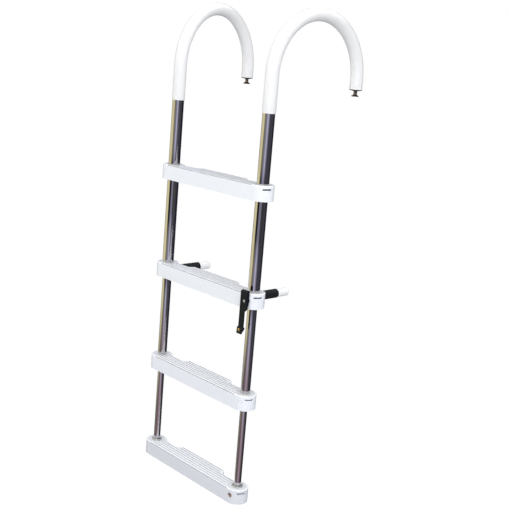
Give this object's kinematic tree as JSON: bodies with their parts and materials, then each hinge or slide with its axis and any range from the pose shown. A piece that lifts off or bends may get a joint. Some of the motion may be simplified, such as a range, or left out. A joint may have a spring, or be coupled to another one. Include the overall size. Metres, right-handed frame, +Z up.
{
  "type": "telescoping pontoon boat ladder",
  "caption": "Telescoping boat ladder with polished tubes, white moulded treads and white-sleeved deck hooks.",
  "frame": {"origin": "midway between the two deck studs, where their necks leave the end plates", "axes": "X along the steps, +Y from the climber towards the boat, +Z up"},
  "size_m": [0.4747, 0.3768, 1.2986],
  "materials": {
    "polished_stainless": "mirror polished stainless tube",
    "white_vinyl": "glossy dipped vinyl",
    "white_tread": "semi-gloss moulded polymer",
    "white_nylon": "satin moulded nylon",
    "dark_plug": "satin dark green-black plug",
    "bronzed_steel": "warm reflecting turned steel",
    "black_rubber": "satin moulded rubber",
    "white_bumper": "satin white rubber",
    "bright_steel": "bright plated",
    "brass": "polished brass"
  },
  "bodies": {
    "upper_section": {"left_hook_rail": "polished_stainless", "right_hook_rail": "polished_stainless", "left_hook_sleeve": "white_vinyl", "right_hook_sleeve": "white_vinyl", "left_end_plate": "dark_plug", "right_end_plate": "dark_plug", "left_locking_stud": "bronzed_steel", "right_locking_stud": "bronzed_steel", "top_step": "white_tread", "second_step": "white_tread", "left_standoff_sleeve": "black_rubber", "right_standoff_sleeve": "black_rubber", "left_standoff_tip": "white_bumper", "right_standoff_tip": "white_bumper", "left_upper_guide": "white_nylon", "right_upper_guide": "white_nylon", "latch_rivet": "bright_steel"},
    "middle_section": {"left_middle_tube": "polished_stainless", "right_middle_tube": "polished_stainless", "left_middle_stop": "white_nylon", "right_middle_stop": "white_nylon", "left_middle_guide": "white_nylon", "right_middle_guide": "white_nylon", "third_step": "white_tread"},
    "lower_section": {"left_lower_tube": "polished_stainless", "right_lower_tube": "polished_stainless", "left_lower_stop": "white_nylon", "right_lower_stop": "white_nylon", "left_foot_collar": "white_nylon", "right_foot_collar": "white_nylon", "left_tube_plug": "white_nylon", "right_tube_plug": "white_nylon", "bottom_step": "white_tread", "latch_eyelet": "bright_steel"},
    "latch": {"latch_strap": "black_rubber", "latch_button": "brass"}
  },
  "joints": [
    {"name": "middle_slide", "type": "slide", "parent": "upper_section", "child": "middle_section", "axis": [0, 0, 1], "range_m": [0, 0.229]},
    {"name": "lower_slide", "type": "slide", "parent": "middle_section", "child": "lower_section", "axis": [0, 0, 1], "range_m": [0, 0.216]},
    {"name": "latch_swing", "type": "hinge", "parent": "upper_section", "child": "latch", "pos_m": [0.2255, -0.343, -0.531], "axis": [0, 1, 0], "range_deg": [-90, 90]}
  ]
}
